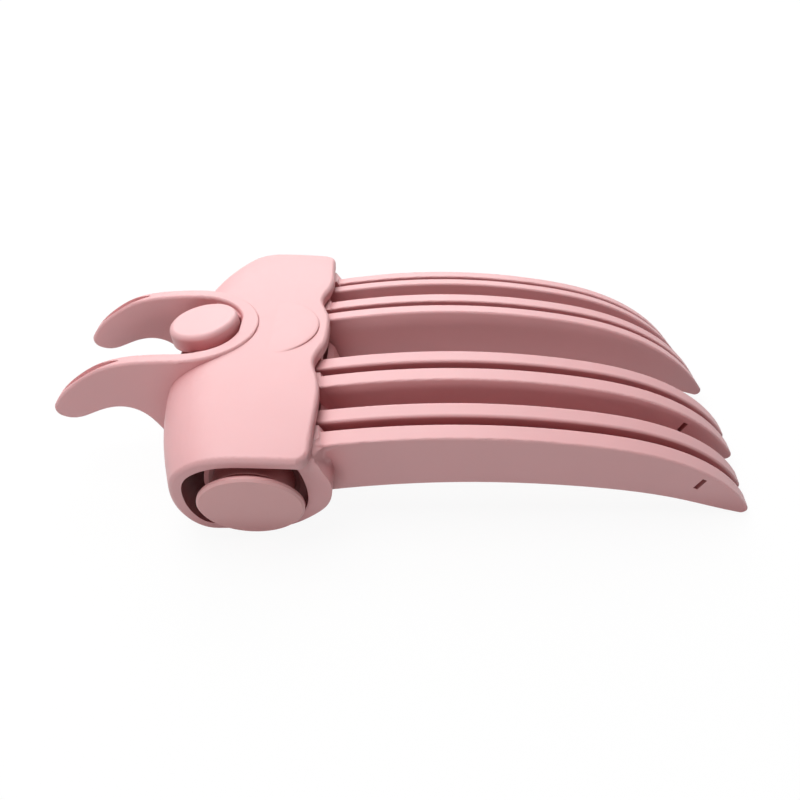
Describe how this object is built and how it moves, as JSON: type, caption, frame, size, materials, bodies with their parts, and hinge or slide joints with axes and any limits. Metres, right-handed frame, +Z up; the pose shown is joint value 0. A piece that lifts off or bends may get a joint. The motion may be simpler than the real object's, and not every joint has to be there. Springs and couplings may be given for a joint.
{
  "type": "heated hair root volumizing clip",
  "caption": "Cordless heated hair clip with curved comb fins that swing open on a barrel, finger ears and a round power button.",
  "frame": {"origin": "middle of the base, on the plane the clip rests on", "axes": "+X from the ears to the fin tips, +Y along the barrel, +Z up out of the button"},
  "size_m": [0.0986, 0.0608, 0.0195],
  "materials": {
    "body_plastic": "soft satin pink",
    "comb_plastic": "soft satin pink",
    "barrel_plastic": "soft satin pink",
    "button_plastic": "soft satin pink",
    "bush_plastic": "smooth off-white",
    "heater_ceramic": "sealed in the fins",
    "copper": "plain",
    "ribbon_film": "amber film",
    "component_case": "black",
    "steel": "plain",
    "nickel": "nickel plated",
    "cell_sleeve": "shrink sleeve",
    "board_laminate": "green solder mask"
  },
  "bodies": {
    "housing": {"top_shell": "body_plastic", "inner_comb": "comb_plastic", "heater_strip_1": "heater_ceramic", "heater_strip_2": "heater_ceramic", "heater_strip_3": "heater_ceramic", "heater_strip_4": "heater_ceramic", "heater_bus": "copper", "heater_ribbon": "ribbon_film", "thermal_cutout": "component_case", "comb_screws": "steel", "board_screws": "steel", "barrel_tube": "barrel_plastic", "end_cap_near": "barrel_plastic", "end_cap_far": "barrel_plastic", "battery_cell": "cell_sleeve", "contact_plate": "nickel", "contact_spring": "nickel", "control_board": "board_laminate", "tact_switch": "component_case", "charging_socket": "nickel", "socket_tongue": "component_case", "torsion_spring": "steel"},
    "clamp": {"outer_comb": "comb_plastic", "pivot_bush_near": "bush_plastic", "pivot_bush_far": "bush_plastic"},
    "button": {"power_button": "button_plastic", "switch_plunger": "component_case"}
  },
  "joints": [
    {"name": "clamp_pivot", "type": "hinge", "parent": "housing", "child": "clamp", "pos_m": [-0.0189, 0, 0.0078], "axis": [0, 1, 0], "range_deg": [0, 20], "stiffness_Nm_per_rad": 0.06, "springref_deg": -20.05},
    {"name": "button_press", "type": "slide", "parent": "housing", "child": "button", "axis": [0.1564, 0, -0.9877], "range_m": [0, 0.0008], "stiffness_N_per_m": 300, "springref_m": -0.001}
  ]
}
